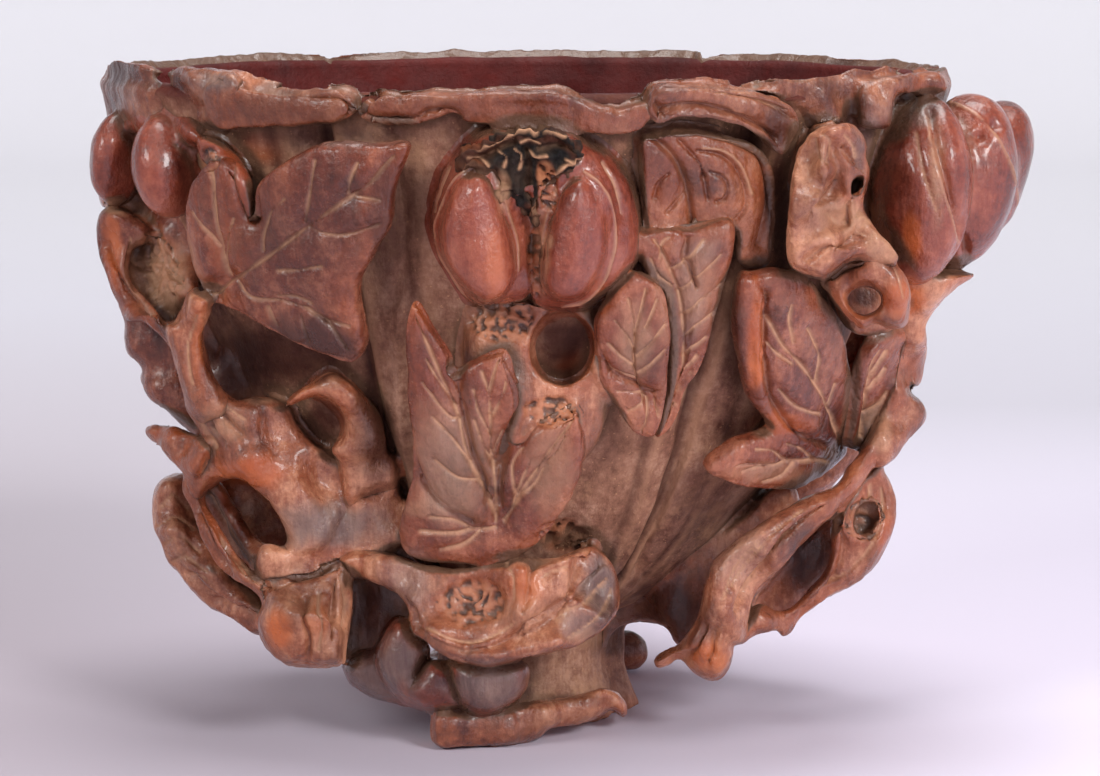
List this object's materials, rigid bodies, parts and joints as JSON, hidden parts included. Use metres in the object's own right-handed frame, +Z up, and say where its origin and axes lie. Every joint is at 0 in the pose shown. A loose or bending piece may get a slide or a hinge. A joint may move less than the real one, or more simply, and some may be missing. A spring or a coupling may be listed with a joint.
{
  "type": "libation cup",
  "caption": "Carved horn libation cup: a flaring petalled bowl on a root stump, wrapped in openwork branches, lobed leaves and split fruit.",
  "frame": {"origin": "middle of the stump's flat underside, on the surface the cup stands on", "axes": "+X to the right across the cup's longest side, -Y out of its front, +Z up"},
  "size_m": [0.1468, 0.1171, 0.102],
  "materials": {
    "wall_horn": "worn horn, waxy, dusty in the hollows",
    "leaf_horn": "hand-polished horn with pale dust in cut veins",
    "fruit_horn": "high polish, deep red horn",
    "branch_horn": "hand-polished amber and brown horn",
    "rim_horn": "worn satin horn",
    "crust": "rough black crust"
  },
  "bodies": {
    "root": {"cup_wall": "wall_horn", "base_stump": "wall_horn", "front_foot_branch": "branch_horn", "rear_foot_branch": "branch_horn", "front_fruit_left_nut": "fruit_horn", "front_fruit_right_nut": "fruit_horn", "front_fruit_crown": "crust", "front_fruit_husk": "fruit_horn", "back_fruit_left_nut": "fruit_horn", "back_fruit_right_nut": "fruit_horn", "back_fruit_crown": "crust", "back_fruit_husk": "fruit_horn", "right_fruit_segment_1": "fruit_horn", "right_fruit_segment_2": "fruit_horn", "right_fruit_segment_3": "fruit_horn", "left_fruit_segment_1": "fruit_horn", "left_fruit_segment_2": "fruit_horn", "left_fruit_segment_3": "fruit_horn", "low_fruit_segment_1": "fruit_horn", "low_fruit_segment_2": "fruit_horn", "low_fruit_segment_3": "fruit_horn", "low_fruit_segment_4": "fruit_horn", "left_broad_leaf": "leaf_horn", "front_mask_leaf": "leaf_horn", "front_side_leaf": "leaf_horn", "front_feather_leaf": "leaf_horn", "right_hook_leaf": "leaf_horn", "right_spear_leaf": "leaf_horn", "left_edge_leaf": "leaf_horn", "left_rear_leaf": "leaf_horn", "back_broad_leaf": "leaf_horn", "back_hook_leaf": "leaf_horn", "back_spear_leaf": "leaf_horn", "front_pierced_stem": "branch_horn", "front_curled_leaf": "leaf_horn", "left_hollow_stub": "branch_horn", "left_leaf_stem": "branch_horn", "left_cross_branch": "branch_horn", "left_arch_branch": "branch_horn", "left_outer_strut": "branch_horn", "left_inner_strut": "branch_horn", "left_thorn_bud": "branch_horn", "left_scale_leaf": "leaf_horn", "left_root": "branch_horn", "right_branch": "branch_horn", "right_lower_branch": "branch_horn", "right_neck": "branch_horn", "back_branch": "branch_horn", "back_left_branch": "branch_horn", "back_right_branch": "branch_horn", "right_knot": "branch_horn", "right_pierced_knot": "branch_horn", "rim_left_arch": "rim_horn", "rim_left_strip": "rim_horn", "rim_front_strip": "rim_horn", "rim_folded_leaf": "rim_horn", "rim_right_ledge": "rim_horn", "rim_right_rear_strip": "rim_horn", "rim_left_rear_strip": "rim_horn", "scroll_panel": "rim_horn"}
  },
  "joints": []
}
